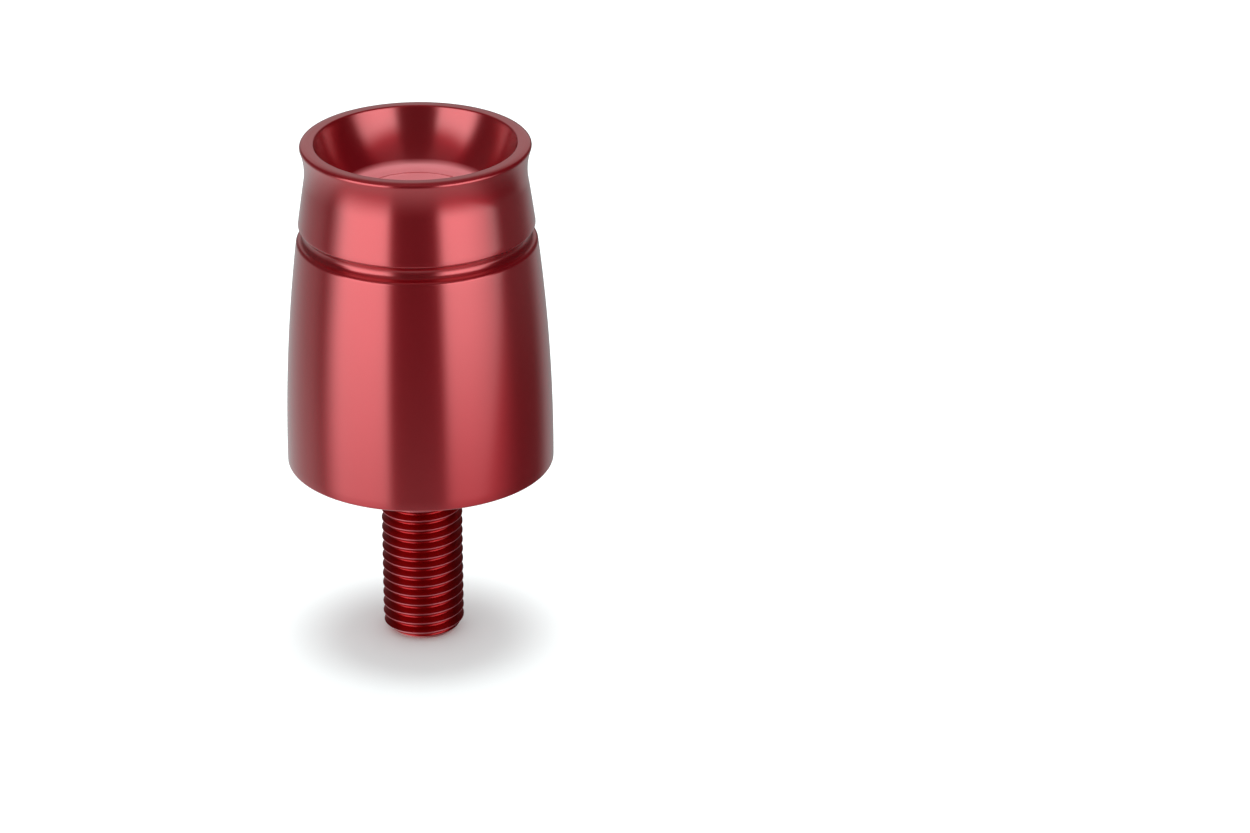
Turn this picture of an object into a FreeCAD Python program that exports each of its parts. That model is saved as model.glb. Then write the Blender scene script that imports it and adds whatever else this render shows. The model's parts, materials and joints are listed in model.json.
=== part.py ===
import FreeCAD, Part
import math
import os

# Bar end weight, turned from one bar and standing on its threaded stud.
# Millimetres. The origin is on the axis at the shoulder face, +Z towards the dish.

# Driving dimensions
body_diameter = 32.0
body_height = 40.5
crown_drop = 3.55
flare_out = 1.2
flare_radius = 9.0
lip_drop = 0.5
lip_crown_radius = 1.5
lip_round = 0.25
lip_flat = 0.6
groove_height = 29.2
groove_width = 2.2
groove_depth = 1.0
stud_diameter = 10.0
stud_length = 22.7
tip_chamfer = 1.2
hex_across_flats = 8.0
hex_depth = 9.0
dish_depth = 6.35

crown_start = 1.2
edge_break = 0.2
shoulder_break = 0.25
dish_edge_break = 0.2
dish_blend = 2.5
step_depth = 0.15
drill_point_angle = 118.0

# Named clearances
pilot_over_flats = 0.3
socket_rim_width = 1.9
ring_width = 2.5
drill_tail = 1.0

body_radius = body_diameter / 2
stud_radius = stud_diameter / 2
hex_across_corners = hex_across_flats / math.cos(math.radians(30))
step_radius = hex_across_corners / 2 + socket_rim_width
ring_radius = step_radius + ring_width
pilot_radius = (hex_across_flats + pilot_over_flats) / 2


def rz(r, z):
    return FreeCAD.Vector(r, 0, z)


# Crown: one large arc, widest just above the shoulder, that drops by crown_drop at the top
rise = body_height - crown_start
crown_radius = (rise ** 2 + crown_drop ** 2) / (2 * crown_drop)
crown_centre = rz(body_radius - crown_radius, crown_start)


def crown_point(z):
    return rz(crown_centre.x + math.sqrt(crown_radius ** 2 - (z - crown_start) ** 2), z)


def arc_middle(start, end, centre):
    radius = (start - centre).Length
    halfway = (start + end) * 0.5 - centre
    return centre + halfway * (radius / halfway.Length)


# Lip: a small round at its widest, then a low crown up to a narrow flat beside the dish
lip_height = body_height - lip_drop
rim_radius = crown_point(lip_height).x + flare_out
lip_centre = rz(rim_radius - lip_round, lip_height)
lip_rise = lip_crown_radius - lip_drop
lip_run = math.sqrt((lip_crown_radius - lip_round) ** 2 - lip_rise ** 2)
lip_top = rz(lip_centre.x - lip_run, body_height)
lip_crown_centre = lip_top - rz(0, lip_crown_radius)
lip_crown_end = lip_centre + (lip_centre - lip_crown_centre).normalize() * lip_round
lip_inner = lip_top - rz(lip_flat, 0)

# Flare: a hollow arc that leaves the crown on its tangent and runs into the lip on its tangent
reach = lip_centre - crown_centre
near = flare_radius + lip_round
far = flare_radius + crown_radius
along = (far ** 2 - near ** 2 + reach.Length ** 2) / (2 * reach.Length)
across = math.sqrt(far ** 2 - along ** 2)
unit = reach * (1 / reach.Length)
flare_centre = crown_centre + unit * along + rz(unit.z, -unit.x) * across
flare_start = crown_centre + (flare_centre - crown_centre) * (crown_radius / far)
flare_end = lip_centre + (flare_centre - lip_centre) * (lip_round / near)


def round_corner(before, corner, after, radius):
    # start, middle and end of an arc that rounds the corner of two straight lines
    to_before = (before - corner).normalize()
    to_after = (after - corner).normalize()
    half = to_before.getAngle(to_after) / 2
    start = corner + to_before * (radius / math.tan(half))
    end = corner + to_after * (radius / math.tan(half))
    bisector = (to_before + to_after).normalize()
    centre = corner + bisector * (radius / math.sin(half))
    return start, centre - bisector * radius, end


# Dish: a cone from the lip, its mouth broken, blended into a flat ring round the socket
dish_corner = rz(ring_radius, lip_top.z - dish_depth)
dish_mouth = lip_inner - rz(dish_edge_break, 0)
ring_edge = rz(step_radius, dish_corner.z)
wall = (dish_corner - dish_mouth).normalize()
mouth_inner = dish_mouth + wall * dish_edge_break
blend_arc = round_corner(dish_mouth, dish_corner, ring_edge, dish_blend)
step_foot = rz(step_radius, ring_edge.z - step_depth)

# Groove: a round-bottomed cut that parts the barrel from the collar, both its edges broken
groove_centre = crown_point(groove_height)
slope = math.asin((groove_height - crown_start) / crown_radius)
outward = rz(math.cos(slope), math.sin(slope))
upward = rz(-math.sin(slope), math.cos(slope))


def on_crown(distance):
    # the crown's surface at a distance along it from the middle of the groove
    angle = slope + distance / crown_radius
    return crown_centre + rz(math.cos(angle), math.sin(angle)) * crown_radius


groove_half = groove_width / 2
barrel_edge = on_crown(-groove_half - edge_break)
barrel_lip = groove_centre - upward * groove_half - outward * edge_break
groove_bottom = groove_centre - outward * groove_depth
collar_lip = groove_centre + upward * groove_half - outward * edge_break
collar_edge = on_crown(groove_half + edge_break)
shoulder_edge = crown_point(shoulder_break)
shoulder_face = rz(shoulder_edge.x - shoulder_break, 0)


def line(start, end):
    return Part.makeLine(start, end)


def arc(start, middle, end):
    return Part.Arc(start, middle, end).toShape()


# Half section of the turned blank, walked from the stud tip round to the dish
stud_tip = rz(0, -stud_length)
tip_edge = rz(stud_radius - tip_chamfer, -stud_length)
tip_top = rz(stud_radius, tip_chamfer - stud_length)
stud_root = rz(stud_radius, 0)
dish_centre = rz(0, step_foot.z)
section = [
    line(stud_tip, tip_edge),
    line(tip_edge, tip_top),
    line(tip_top, stud_root),
    line(stud_root, shoulder_face),
    line(shoulder_face, shoulder_edge),
    arc(shoulder_edge, arc_middle(shoulder_edge, barrel_edge, crown_centre), barrel_edge),
    line(barrel_edge, barrel_lip),
    arc(barrel_lip, groove_bottom, collar_lip),
    line(collar_lip, collar_edge),
    arc(collar_edge, arc_middle(collar_edge, flare_start, crown_centre), flare_start),
    arc(flare_start, arc_middle(flare_start, flare_end, flare_centre), flare_end),
    arc(flare_end, arc_middle(flare_end, lip_crown_end, lip_centre), lip_crown_end),
    arc(lip_crown_end, arc_middle(lip_crown_end, lip_top, lip_crown_centre), lip_top),
    line(lip_top, lip_inner),
    line(lip_inner, mouth_inner),
    line(mouth_inner, blend_arc[0]),
    arc(*blend_arc),
    line(blend_arc[2], ring_edge),
    line(ring_edge, step_foot),
    line(step_foot, dish_centre),
    line(dish_centre, stud_tip),
]
face = Part.Face(Part.Wire(section))
blank = face.revolve(FreeCAD.Vector(0, 0, 0), FreeCAD.Vector(0, 0, 1), 360)

# Hex socket: a drilled pilot hole, a little wider than the flats, with the hex broached into it
socket_top = step_foot.z
pilot_depth = hex_depth + drill_tail
pilot = Part.makeCylinder(pilot_radius, pilot_depth, rz(0, socket_top - pilot_depth))
point_length = pilot_radius / math.tan(math.radians(drill_point_angle / 2))
point_base = rz(0, socket_top - pilot_depth)
drill_point = Part.makeCone(pilot_radius, 0, point_length, point_base, FreeCAD.Vector(0, 0, -1))
corners = []
for step in range(7):
    turn = math.radians(60 * step)
    x = hex_across_corners / 2 * math.cos(turn)
    y = hex_across_corners / 2 * math.sin(turn)
    corners.append(FreeCAD.Vector(x, y, socket_top))
hexagon = Part.Face(Part.makePolygon(corners))
broach = hexagon.extrude(FreeCAD.Vector(0, 0, -hex_depth))
weight = blank.cut(pilot.fuse(drill_point).fuse(broach))
weight = weight.Solids[0]

os.makedirs("parts", exist_ok=True)
weight.exportStep("parts/bar_end_weight.step")
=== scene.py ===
import json
import math
import bpy
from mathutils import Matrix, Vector


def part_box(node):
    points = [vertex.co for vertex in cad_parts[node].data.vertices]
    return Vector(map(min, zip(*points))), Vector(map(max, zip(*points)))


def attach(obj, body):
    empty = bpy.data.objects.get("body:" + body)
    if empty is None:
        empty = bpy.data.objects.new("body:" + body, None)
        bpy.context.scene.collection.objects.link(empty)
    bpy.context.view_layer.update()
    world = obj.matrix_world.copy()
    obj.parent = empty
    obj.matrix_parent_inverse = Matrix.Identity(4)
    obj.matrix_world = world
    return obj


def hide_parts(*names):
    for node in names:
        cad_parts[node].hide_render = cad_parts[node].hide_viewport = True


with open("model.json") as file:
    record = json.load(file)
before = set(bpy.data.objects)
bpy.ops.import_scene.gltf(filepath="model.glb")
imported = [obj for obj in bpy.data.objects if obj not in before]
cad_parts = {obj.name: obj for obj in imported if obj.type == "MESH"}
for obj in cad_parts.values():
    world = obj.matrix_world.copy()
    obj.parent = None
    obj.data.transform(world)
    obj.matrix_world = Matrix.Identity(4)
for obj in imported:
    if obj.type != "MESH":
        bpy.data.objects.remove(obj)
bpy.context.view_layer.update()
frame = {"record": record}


# Turned blank
# The weight is one bar of aluminium, turned between centres: a crowned barrel, a round-bottomed
# groove, a collar that flares to a lip, and a dish bored in its face with a shallow flat step.
# It is drawn as the lathe makes it, one ring after another along the section, from the shoulder up.
mm = 0.001
low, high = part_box("bar_end_weight")
mounts = {mount["name"]: mount for mount in frame["record"]["mounts"]}
body_radius = high.x
body_top = high.z
stud_tip = low.z
socket_top = mounts["hex_drive"]["pos_m"][2]
crown_drop = 3.55 * mm
crown_start = 1.2 * mm
flare_out = 1.14 * mm
flare_radius = 9.0 * mm
lip_drop = 0.42 * mm
lip_crown_radius = 2.5 * mm
lip_round = 0.34 * mm
lip_flat = 0.6 * mm
groove_height = 29.37 * mm
groove_radius = 0.9 * mm
barrel_round = 0.5 * mm
collar_round = 0.2 * mm
shoulder_round = 0.25 * mm
mouth_round = 0.25 * mm
mouth_setback = mouth_round * 0.6
dish_depth = 6.35 * mm
dish_blend = 1.2 * mm
dish_hollow = 15.0 * mm
dish_steepness = 17.0
step_radius = 6.519 * mm
ring_segments = 256


def point(r, z):
    return Vector((r, z))


def sweep(centre, radius, first, last, steps):
    # points along an arc of the section, from one angle to another, in degrees
    turns = [first + (last - first) * i / steps for i in range(steps + 1)]
    return [centre + radius * point(math.cos(math.radians(a)), math.sin(math.radians(a))) for a in turns]


def bearing(centre, at):
    return math.degrees(math.atan2(at.y - centre.y, at.x - centre.x))


def between(first, last, parts):
    # points inside a straight run, so that the shading stays flat along it
    return [first.lerp(last, i / parts) for i in range(1, parts)]


def round_corner(before, corner, after, radius, steps):
    # an arc of the section in place of a sharp corner between two straight runs
    back = (before - corner).normalized()
    ahead = (after - corner).normalized()
    half = back.angle(ahead) / 2
    bisector = (back + ahead).normalized()
    centre = corner + bisector * (radius / math.sin(half))
    first = bearing(centre, corner + back * (radius / math.tan(half)))
    last = bearing(centre, corner + ahead * (radius / math.tan(half)))
    turn = (last - first + 180) % 360 - 180
    return sweep(centre, radius, first, first + turn, steps)


def edge_shift(edge_round):
    # how far along the crown from the groove's middle an edge round starts, and how far it turns
    hypotenuse = groove_radius + edge_round
    return math.sqrt(hypotenuse ** 2 - edge_round ** 2), math.degrees(math.acos(edge_round / hypotenuse))


def turned(name, rings, segments):
    # a piece turned about the axis, from the (radius, height) of each of its rings, in order
    bpy.ops.object.select_all(action="DESELECT")
    bpy.ops.mesh.primitive_circle_add(
        vertices=segments, radius=rings[0][0], fill_type="NGON", location=(0, 0, rings[0][1])
    )
    piece = bpy.context.object
    piece.name = name
    bpy.ops.object.transform_apply(location=True, rotation=True, scale=True)
    bpy.ops.object.mode_set(mode="EDIT")
    bpy.ops.mesh.select_all(action="SELECT")
    for last, new in zip(rings, rings[1:]):
        bpy.ops.mesh.extrude_region_move(TRANSFORM_OT_translate={"value": (0, 0, new[1] - last[1])})
        wider = new[0] / last[0]
        bpy.ops.transform.resize(value=(wider, wider, 1), center_override=(0, 0, new[1]))
    bpy.ops.mesh.select_all(action="SELECT")
    bpy.ops.mesh.normals_make_consistent(inside=False)
    bpy.ops.object.mode_set(mode="OBJECT")
    return piece


# the crown is one large arc, and the flare a hollow one that meets it and the lip on their tangents
rise = body_top - crown_start
crown_radius = (rise ** 2 + crown_drop ** 2) / (2 * crown_drop)
crown_centre = point(body_radius - crown_radius, crown_start)
lip_height = body_top - lip_drop
crown_at_lip = crown_centre.x + math.sqrt(crown_radius ** 2 - (lip_height - crown_start) ** 2)
lip_centre = point(crown_at_lip + flare_out - lip_round, lip_height)
reach = lip_centre - crown_centre
near = flare_radius + lip_round
far = flare_radius + crown_radius
along = (far ** 2 - near ** 2 + reach.length ** 2) / (2 * reach.length)
across = math.sqrt(far ** 2 - along ** 2)
unit = reach.normalized()
flare_centre = crown_centre + unit * along + point(unit.y, -unit.x) * across
flare_from = bearing(crown_centre, flare_centre)
flare_to = bearing(flare_centre, lip_centre)
lip_run = math.sqrt((lip_crown_radius - lip_round) ** 2 - (lip_crown_radius - lip_drop) ** 2)
lip_crown_centre = point(lip_centre.x - lip_run, body_top - lip_crown_radius)
lip_turn = bearing(lip_crown_centre, lip_centre)

# the groove is a half round sunk square to the crown, with an edge round on either side
slope = math.degrees(math.asin((groove_height - crown_start) / crown_radius))
outward = point(math.cos(math.radians(slope)), math.sin(math.radians(slope)))
upward = point(-outward.y, outward.x)
groove_middle = crown_centre + outward * crown_radius
barrel_shift, barrel_turn = edge_shift(barrel_round)
collar_shift, collar_turn = edge_shift(collar_round)
barrel_edge = groove_middle - upward * barrel_shift - outward * barrel_round
collar_edge = groove_middle + upward * collar_shift - outward * collar_round
barrel_from = math.degrees(math.asin((shoulder_round - crown_start) / crown_radius))
barrel_to = slope - math.degrees(barrel_shift / crown_radius)
groove_from = slope + 180 + barrel_turn
groove_to = slope + 180 - collar_turn
collar_from = slope + math.degrees(collar_shift / crown_radius)

section = sweep(point(body_radius - shoulder_round, shoulder_round), shoulder_round, -90, 0, steps=6)
section += sweep(crown_centre, crown_radius, barrel_from, barrel_to, steps=26)[1:]
section += sweep(barrel_edge, barrel_round, slope, slope + barrel_turn, steps=8)[1:]
section += sweep(groove_middle, groove_radius, groove_from, groove_to, steps=28)[1:]
section += sweep(collar_edge, collar_round, slope - collar_turn, slope, steps=6)[1:]
section += sweep(crown_centre, crown_radius, collar_from, flare_from, steps=8)[1:]
section += sweep(flare_centre, flare_radius, flare_from + 180, flare_to, steps=18)[1:]
section += sweep(lip_centre, lip_round, flare_to - 180, lip_turn, steps=10)[1:]
section += sweep(lip_crown_centre, lip_crown_radius, lip_turn, 90, steps=8)[1:]

# the dish's wall is slightly hollow, and a blend runs it into the flat ring round the step
lip_edge = point(lip_crown_centre.x, body_top)
mouth = lip_edge - point(lip_flat + mouth_setback, 0)
ring_height = body_top - dish_depth
ring_edge = point(step_radius, ring_height)
facing_in = point(-math.cos(math.radians(dish_steepness)), math.sin(math.radians(dish_steepness)))
down_the_wall = point(-facing_in.y, facing_in.x)
mouth_arc = round_corner(lip_edge, mouth, mouth + down_the_wall, mouth_round, steps=8)
wall_centre = mouth + facing_in * dish_hollow
blend_height = ring_height + dish_blend
blend_reach = math.sqrt((dish_hollow - dish_blend) ** 2 - (wall_centre.y - blend_height) ** 2)
blend_centre = point(wall_centre.x + blend_reach, blend_height)
wall_from = bearing(wall_centre, mouth_arc[-1])
wall_to = bearing(wall_centre, blend_centre)
section += between(lip_edge, mouth_arc[0], parts=4) + mouth_arc
section += sweep(wall_centre, dish_hollow, wall_from, wall_to, steps=18)[1:]
section += sweep(blend_centre, dish_blend, wall_to, -90, steps=10)[1:]
section += between(section[-1], ring_edge, parts=4) + [ring_edge, point(step_radius, socket_top)]
weight = turned("bar_end_weight_body", section, ring_segments)


# Threaded stud
# The stud is turned on the same bar, and an M10 x 1.25 right-hand thread is rolled on it from the
# chamfered tip up to the shoulder. One tooth is drawn and wound up the stud.
thread_pitch = 1.25 * mm
thread_crest = 4.9 * mm
thread_depth = 0.6134 * thread_pitch
thread_root = thread_crest - thread_depth
tip_chamfer = 1.2 * mm
stud_bury = 2.0 * mm
steps_per_turn = 128
tool_segments = 192
# the share of a turn that puts the crests where the photograph has them
thread_start = 0.29
# turns wound past the stud's own length, and how many of them lie below its tip; all are cut off
spare_turns = 3
turns_below = 2
# one tooth from root to root: how far up the pitch, and how far out from root to crest
tooth = [
    (0.0, 0.0),
    (0.055, 0.01),
    (0.1, 0.055),
    (0.115, 0.1),
    (0.43, 0.945),
    (0.445, 0.975),
    (0.468, 1.0),
    (0.532, 1.0),
    (0.555, 0.975),
    (0.57, 0.945),
    (0.885, 0.1),
    (0.9, 0.055),
    (0.945, 0.01),
    (1.0, 0.0),
]

bpy.ops.mesh.primitive_circle_add(vertices=len(tooth), radius=thread_crest, fill_type="NOTHING")
stud = bpy.context.object
stud.name = "stud_thread"
bpy.ops.object.mode_set(mode="EDIT")
bpy.ops.mesh.select_all(action="DESELECT")
bpy.ops.object.mode_set(mode="OBJECT")
closing = [edge for edge in stud.data.edges if set(edge.vertices) == {0, len(tooth) - 1}]
closing[0].select = True
bpy.ops.object.mode_set(mode="EDIT")
bpy.ops.mesh.delete(type="EDGE")
bpy.ops.object.mode_set(mode="OBJECT")
thread_foot = stud_tip - (turns_below + thread_start) * thread_pitch
for vertex, (up_the_pitch, out) in zip(stud.data.vertices, tooth):
    radius = thread_root + out * (thread_crest - thread_root)
    vertex.co = (radius, 0, thread_foot + up_the_pitch * thread_pitch)
winding = stud.modifiers.new("winding", "SCREW")
winding.axis = "Z"
winding.angle = math.radians(360)
winding.screw_offset = thread_pitch
winding.iterations = math.ceil((stud_bury - stud_tip) / thread_pitch) + spare_turns
winding.steps = steps_per_turn
winding.render_steps = steps_per_turn
bpy.ops.object.modifier_apply(modifier="winding")
bpy.ops.object.mode_set(mode="EDIT")
bpy.ops.mesh.select_all(action="SELECT")
bpy.ops.mesh.remove_doubles(threshold=0.002 * mm)
bpy.ops.mesh.bisect(plane_co=(0, 0, stud_bury), plane_no=(0, 0, 1), clear_outer=True, use_fill=True)
bpy.ops.mesh.select_all(action="SELECT")
bpy.ops.mesh.bisect(plane_co=(0, 0, stud_tip), plane_no=(0, 0, 1), clear_inner=True, use_fill=True)
bpy.ops.mesh.select_all(action="SELECT")
bpy.ops.mesh.normals_make_consistent(inside=False)
bpy.ops.object.mode_set(mode="OBJECT")


def combine(piece, other, how):
    # one solid joined to another or worked with it, after which the other is put away
    bpy.ops.object.select_all(action="DESELECT")
    bpy.context.view_layer.objects.active = piece
    piece.select_set(True)
    work = piece.modifiers.new("work", "BOOLEAN")
    work.operation = how
    work.solver = "EXACT"
    work.object = other
    bpy.ops.object.modifier_apply(modifier="work")
    bpy.data.objects.remove(other)


# the gauge's cone takes the chamfer off the tip, and its wide part clears the rest of the stud
tip_edge = mounts["stud"]["dims"]["r_mm"] * mm - tip_chamfer
gauge_reach = 3 * mm
gauge_spare = 1 * mm
chamfer_gauge = turned(
    "chamfer_gauge",
    [
        (tip_edge, stud_tip),
        (tip_edge + gauge_reach, stud_tip + gauge_reach),
        (tip_edge + gauge_reach, stud_bury + gauge_spare),
    ],
    tool_segments,
)
combine(stud, chamfer_gauge, "INTERSECT")
combine(weight, stud, "UNION")


# Hex socket
# A drilled pilot hole, a little wider than the flats, with an 8 mm hexagon broached into it,
# so each flat keeps a shallow hollow of the drilled wall down its middle.
hex_across_flats = 8.0 * mm
hex_depth = 9.0 * mm
pilot_radius = 4.15 * mm
pilot_depth = 10.0 * mm
drill_point_angle = 118.0
drill_tip_radius = 0.02 * mm
cutter_spare = 2 * mm
crease_angle = 28.0
point_depth = pilot_radius / math.tan(math.radians(drill_point_angle / 2))
pilot_end = socket_top - pilot_depth
drill = turned(
    "drill",
    [
        (drill_tip_radius, pilot_end - point_depth),
        (pilot_radius, pilot_end),
        (pilot_radius, socket_top + cutter_spare),
    ],
    tool_segments,
)
combine(weight, drill, "DIFFERENCE")
hex_corner = hex_across_flats / 2 / math.cos(math.radians(30))
bpy.ops.mesh.primitive_cylinder_add(
    vertices=6,
    radius=hex_corner,
    depth=hex_depth + cutter_spare,
    location=(0, 0, socket_top - hex_depth / 2 + cutter_spare / 2),
)
broach = bpy.context.object
broach.name = "broach"
broach.rotation_euler.z = math.radians(30)
bpy.ops.object.transform_apply(location=True, rotation=True, scale=True)
combine(weight, broach, "DIFFERENCE")

bpy.ops.object.mode_set(mode="EDIT")
bpy.ops.mesh.select_all(action="SELECT")
bpy.ops.mesh.remove_doubles(threshold=0.0005 * mm)
bpy.ops.mesh.normals_make_consistent(inside=False)
bpy.ops.object.mode_set(mode="OBJECT")
bpy.ops.object.shade_smooth_by_angle(angle=math.radians(crease_angle))


# Anodised finish
# Red dyed anodised aluminium: a turned metal under a clear hard oxide skin, so the metal glows
# deep red where it mirrors dark and rose where it mirrors light, with a white sheen at the edges.
def linear(hex_colour):
    # an sRGB hex colour as the linear one that the shader wants
    parts = [int(hex_colour[i:i + 2], 16) / 255 for i in (1, 3, 5)]
    return [c / 12.92 if c <= 0.04045 else ((c + 0.055) / 1.055) ** 2.4 for c in parts] + [1.0]


def node(tree, kind, settings, links):
    # one node with its own settings and what feeds each of its sockets
    made = tree.nodes.new(kind)
    for name, value in settings.items():
        if isinstance(name, int) or name in made.inputs:
            made.inputs[name].default_value = value
        else:
            setattr(made, name, value)
    for name, source in links.items():
        tree.links.new(source, made.inputs[name])
    return made


def maths(tree, operation, *terms):
    # one step of arithmetic: numbers sit on the node's own sockets, and other nodes feed the rest
    numbers = {i: term for i, term in enumerate(terms) if isinstance(term, float)}
    sources = {i: term for i, term in enumerate(terms) if i not in numbers}
    return node(tree, "ShaderNodeMath", {"operation": operation, **numbers}, sources).outputs["Value"]


def change(tree, value, start, stop, first, last, curve="LINEAR"):
    # one level changed into another while a value goes from start to stop
    span = {"From Min": start, "From Max": stop, "To Min": first, "To Max": last}
    settings = {"interpolation_type": curve, **span}
    return node(tree, "ShaderNodeMapRange", settings, {"Value": value}).outputs["Result"]


anodised = bpy.data.materials.new("red_anodised_aluminium")
anodised.use_nodes = True
metal_tree = anodised.node_tree
metal_tree.nodes.clear()
place = node(metal_tree, "ShaderNodeTexCoord", {}, {}).outputs["Object"]
axes = node(metal_tree, "ShaderNodeSeparateXYZ", {}, {"Vector": place}).outputs
flat = node(metal_tree, "ShaderNodeCombineXYZ", {}, {"X": axes["X"], "Y": axes["Y"]}).outputs["Vector"]
from_axis = node(metal_tree, "ShaderNodeVectorMath", {"operation": "LENGTH"}, {0: flat}).outputs["Value"]
height = axes["Z"]
shoulder_blend = 0.2 * mm


def at_shoulder(on_stud, on_body):
    # one level on the stud and another on the body, changed over at the shoulder
    return change(metal_tree, height, -shoulder_blend, shoulder_blend, on_stud, on_body)


def tinted(under, hex_colour, where):
    # the colour so far, with another one over it where a mask says
    links = {"Fac": where, "Color1": under}
    return node(metal_tree, "ShaderNodeMixRGB", {"Color2": linear(hex_colour)}, links).outputs["Color"]


# the lathe's feed lines, some six to the millimetre, which is coarse enough to show
feed_per_metre = 6000.0
feed_across_faces = 0.8
feed = maths(metal_tree, "MULTIPLY_ADD", from_axis, feed_across_faces, height)
lines = node(
    metal_tree,
    "ShaderNodeTexNoise",
    {"noise_dimensions": "1D", "Scale": feed_per_metre, "Detail": 2.0, "Roughness": 0.6},
    {"W": feed},
).outputs["Fac"]
# the dye is a little uneven over the whole weight
cloud = node(
    metal_tree,
    "ShaderNodeTexNoise",
    {"Scale": 90.0, "Detail": 3.0, "Roughness": 0.5},
    {"Vector": place},
).outputs["Fac"]
dye = node(
    metal_tree,
    "ShaderNodeMixRGB",
    {"Color1": linear("#A60818"), "Color2": linear("#AE0C20")},
    {"Fac": cloud},
).outputs["Color"]
# the thread is coloured a deeper red: painted shade for the flanks, which face the shaded underside of the
# body
in_thread = at_shoulder(1.0, 0.0)
thread_painted_shade = tinted(dye, "#A00008", in_thread)
# inside the dish's blend the floor was faced with a coarser feed, and there it is coloured a paler rose: a
# painted sheen for the bright wedge that light from above and behind lays on it
faced_outer = 8.9 * mm
faced_inner = 8.35 * mm
faced_below = 0.1 * mm
faced = change(metal_tree, from_axis, faced_outer, faced_inner, 0.0, 1.0)
in_dish = maths(metal_tree, "GREATER_THAN", height, socket_top - faced_below)
faced_floor_and_painted_sheen = maths(metal_tree, "MULTIPLY", faced, in_dish)
# the crests of the thread are coloured a paler rose: a painted highlight along the thin crest lines
crest_glint_from = thread_crest - 0.05 * mm
crest_glint_to = thread_crest - 0.01 * mm
crest_glint = maths(metal_tree, "MULTIPLY", change(metal_tree, from_axis, crest_glint_from, crest_glint_to, 0.0, 1.0), in_thread)
with_crest_glint = tinted(thread_painted_shade, "#C8666E", crest_glint)
colour = tinted(with_crest_glint, "#E8888E", faced_floor_and_painted_sheen)
# the feed lines make the satin, which is coarser on the faced floor
satin = change(metal_tree, lines, 0.3, 0.7, 0.28, 0.31)
coarse = maths(metal_tree, "MULTIPLY_ADD", faced_floor_and_painted_sheen, 0.25, satin)
# the thread was rolled, so it has no feed lines to draw the light out up and down
drawn_out = at_shoulder(0.0, 0.8)
# the faced floor is made less metallic, so more of its painted sheen colour shows
bare_metal = maths(metal_tree, "MULTIPLY_ADD", faced_floor_and_painted_sheen, -0.4, at_shoulder(0.92, 0.75))
# its skin is also thinner and rougher than the body's
glassy = at_shoulder(0.2, 1.0)
rough = maths(metal_tree, "ADD", coarse, at_shoulder(0.1, 0.0))
ridges = node(
    metal_tree,
    "ShaderNodeBump",
    {"Strength": 0.015, "Distance": 0.02 * mm},
    {"Height": lines},
)
round_the_work = node(metal_tree, "ShaderNodeTangent", {"direction_type": "RADIAL", "axis": "Z"}, {})
skin = node(
    metal_tree,
    "ShaderNodeBsdfPrincipled",
    {
        "Anisotropic Rotation": 0.25,
        "Coat Roughness": 0.17,
        "Coat IOR": 1.7,
    },
    {
        "Base Color": colour,
        "Metallic": bare_metal,
        "Roughness": rough,
        "Anisotropic": drawn_out,
        "Coat Weight": glassy,
        "Normal": ridges.outputs["Normal"],
        "Tangent": round_the_work.outputs["Tangent"],
    },
)
node(metal_tree, "ShaderNodeOutputMaterial", {}, {"Surface": skin.outputs["BSDF"]})
weight.data.materials.clear()
weight.data.materials.append(anodised)
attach(weight, "root")
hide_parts("bar_end_weight")


# Floor
# A pale matt table that the weight stands on by its stud, wide enough to have no edge in view.
# It lights the weight from below but isn't mirrored in it, as the tent takes that place.
bpy.ops.object.select_all(action="DESELECT")
bpy.ops.mesh.primitive_plane_add(size=6.0, location=(0, 0, stud_tip))
floor = bpy.context.object
floor.name = "floor"
paper = bpy.data.materials.new("matt_white_paper")
paper.use_nodes = True
sheet = paper.node_tree.nodes["Principled BSDF"]
sheet.inputs["Base Color"].default_value = linear("#F2F8F8")
sheet.inputs["Roughness"].default_value = 0.9
sheet.inputs["Specular IOR Level"].default_value = 0.1
floor.data.materials.append(paper)
floor.visible_glossy = False


# Light tent
# A tent round the set, which only the polished metal mirrors. It glows as two tall softboxes left
# and right of the camera with a dark gap between them, and faintly low down, behind and overhead.
bpy.ops.object.select_all(action="DESELECT")
bpy.ops.mesh.primitive_uv_sphere_add(segments=64, ring_count=32, radius=1.5, location=(0, 0, 0))
tent = bpy.context.object
tent.name = "light_tent"
tent.visible_camera = False
tent.visible_diffuse = False
tent.visible_shadow = False
glow = bpy.data.materials.new("light_tent_glow")
glow.use_nodes = True
glow_tree = glow.node_tree
glow_tree.nodes.clear()
inside = node(glow_tree, "ShaderNodeTexCoord", {}, {}).outputs["Object"]
aim = node(glow_tree, "ShaderNodeVectorMath", {"operation": "NORMALIZE"}, {0: inside}).outputs["Vector"]
heading = node(glow_tree, "ShaderNodeSeparateXYZ", {}, {"Vector": aim}).outputs
side = maths(glow_tree, "ARCTAN2", heading["X"], maths(glow_tree, "MULTIPLY", heading["Y"], -1.0))
up = maths(glow_tree, "ARCSINE", heading["Z"])


def ramp(angle, start, stop, first, last):
    # a smooth change from one level to another between two angles, in degrees
    return change(glow_tree, angle, math.radians(start), math.radians(stop), first, last, "SMOOTHSTEP")


def times(first, second):
    return maths(glow_tree, "MULTIPLY", first, second)


def plus(first, second):
    return maths(glow_tree, "ADD", first, second)


def capped(value):
    return maths(glow_tree, "MINIMUM", value, 1.0)


# the left softbox, narrower on its outer side above the horizon than below it
box_glow = 1.95
left_box = times(ramp(side, -96, -70, 0.0, box_glow), ramp(side, -31, -23, 1.0, 0.0))
left_edge = plus(ramp(side, -83, -67, 0.0, 1.0), ramp(up, -8, 8, 1.0, 0.0))
left_box = times(left_box, capped(left_edge))
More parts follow.
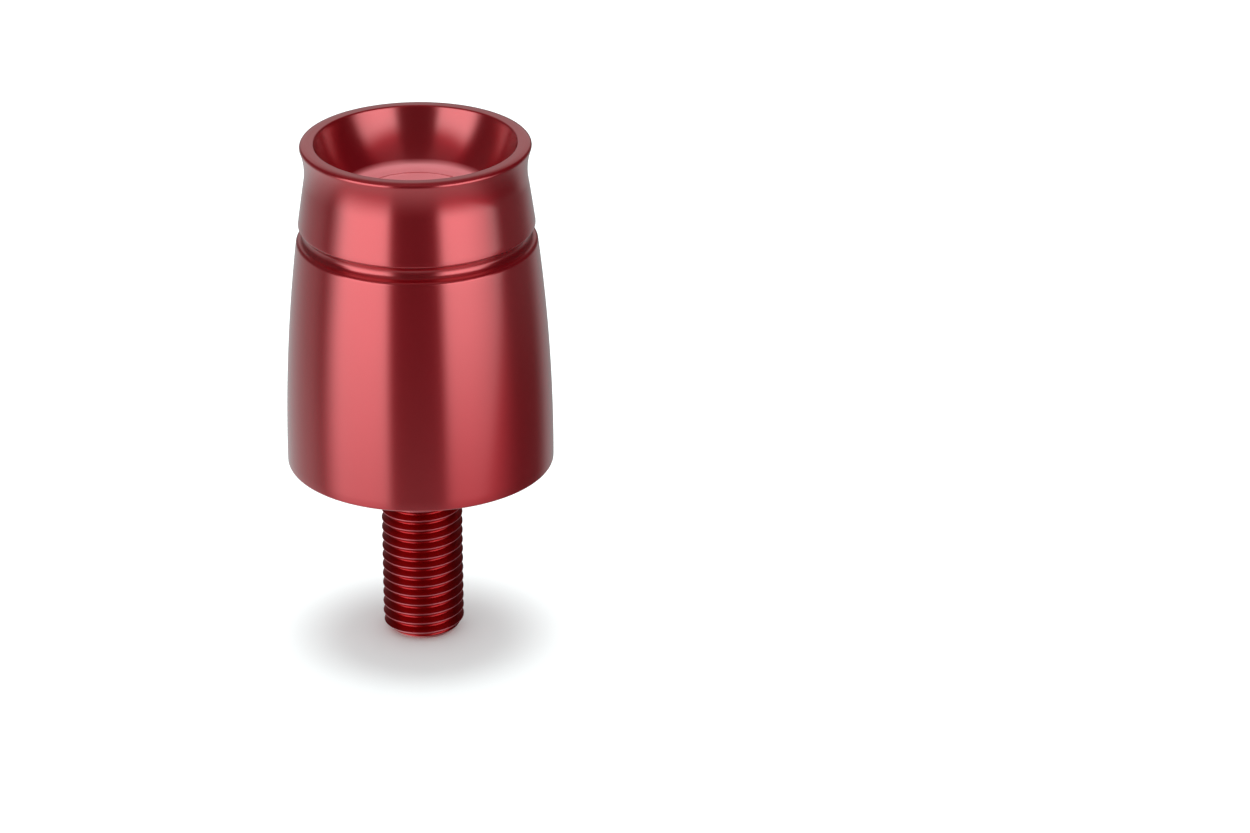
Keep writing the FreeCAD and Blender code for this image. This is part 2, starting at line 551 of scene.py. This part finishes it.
# the right one, narrower in the same way, that also fades outward and leans
lean = -1.8
leaning = maths(glow_tree, "MULTIPLY_ADD", up, lean, side)
right_box = times(ramp(side, 17, 28, 0.0, box_glow), ramp(side, 40, 100, 1.0, 0.4))
right_box = times(right_box, times(ramp(leaning, 97, 108, 1.0, 0.0), ramp(side, 78, 92, 1.0, 0.0)))
right_edge = plus(ramp(side, 64, 80, 1.0, 0.0), ramp(up, -8, 8, 1.0, 0.0))
right_box = times(right_box, capped(right_edge))
right_box = times(right_box, ramp(up, -34, -8, 0.15, 1.0))
# both grow brighter upwards and end below the roof, which has a faint glow of its own
boxes = plus(left_box, right_box)
boxes = times(boxes, ramp(up, -42, -4, 0.05, 1.25))
boxes = times(boxes, ramp(up, -4, 12, 1.0, 1.15))
boxes = times(boxes, ramp(up, 25, 41, 1.0, 0.05))
boxes = plus(boxes, ramp(up, 50, 70, 0.0, 0.08))
# behind the weight: light low down on either side, and a panel straight at the back
behind = plus(ramp(side, -140, -110, 0.2, 0.0), ramp(side, 118, 145, 0.0, 0.95))
behind = times(behind, ramp(up, -19, -11, 0.33, 0.05))
back_panel = plus(ramp(side, -165, -150, 0.38, 0.0), ramp(side, 150, 165, 0.0, 0.38))
back_panel = times(back_panel, times(ramp(up, 4, 14, 0.0, 1.0), ramp(up, 32, 42, 1.0, 0.0)))
# the fill: light off the table from below, more of it on the left, and a little low on the right
fill = times(ramp(up, -62, -8, 0.65, 0.04), ramp(side, 60, 95, 1.0, 0.25))
fill = plus(fill, times(ramp(side, -110, -85, 0.3, 0.0), ramp(up, -5, 10, 1.0, 0.1)))
low_right = times(ramp(side, 64, 86, 0.0, 0.11), ramp(up, -22, -13, 0.0, 1.0))
low_right = times(low_right, ramp(up, -6, 4, 1.0, 0.0))
fill = plus(plus(fill, low_right), plus(behind, back_panel))
shine = node(glow_tree, "ShaderNodeEmission", {"Color": (1, 1, 1, 1)}, {"Strength": plus(boxes, fill)})
node(glow_tree, "ShaderNodeOutputMaterial", {}, {"Surface": shine.outputs["Emission"]})
tent.data.materials.append(glow)


# Lamps
# One broad lamp hangs overhead and a little behind, and drops a soft shadow round the stud's foot.
# An even white sky lights the table from all round.
disc = bpy.data.lights.new("overhead", "AREA")
disc.shape = "DISK"
disc.size = 0.65
disc.energy = 6.5
overhead = bpy.data.objects.new("overhead", disc)
bpy.context.scene.collection.objects.link(overhead)
overhead.location = (0, 0.12, 1.0)
overhead.rotation_euler = (Vector((0, 0, 0)) - overhead.location).to_track_quat("-Z", "Y").to_euler()
overhead.visible_glossy = False

world = bpy.data.worlds.new("studio")
bpy.context.scene.world = world
world.use_nodes = True
sky = world.node_tree.nodes["Background"]
sky.inputs["Color"].default_value = (1, 1, 1, 1)
sky.inputs["Strength"].default_value = 1.0


# Camera
# A long lens a little above the weight, at the angle of the photograph.
# The pan and the tilt put the weight where the picture has it.
distance = 617.6 * mm
above = math.radians(24.755)
pan = math.radians(2.5125)
tilt = math.radians(24.3405)
eye = bpy.data.cameras.new("camera")
eye.lens = 147.4355
eye.sensor_width = 36.0
eye.clip_start = 0.01
eye.clip_end = 20.0
camera = bpy.data.objects.new("camera", eye)
bpy.context.scene.collection.objects.link(camera)
camera.location = (0, -distance * math.cos(above), distance * math.sin(above))
camera.rotation_euler = (math.radians(90) - tilt, 0, -pan)
bpy.context.scene.camera = camera
bpy.context.scene.view_settings.view_transform = "Standard"
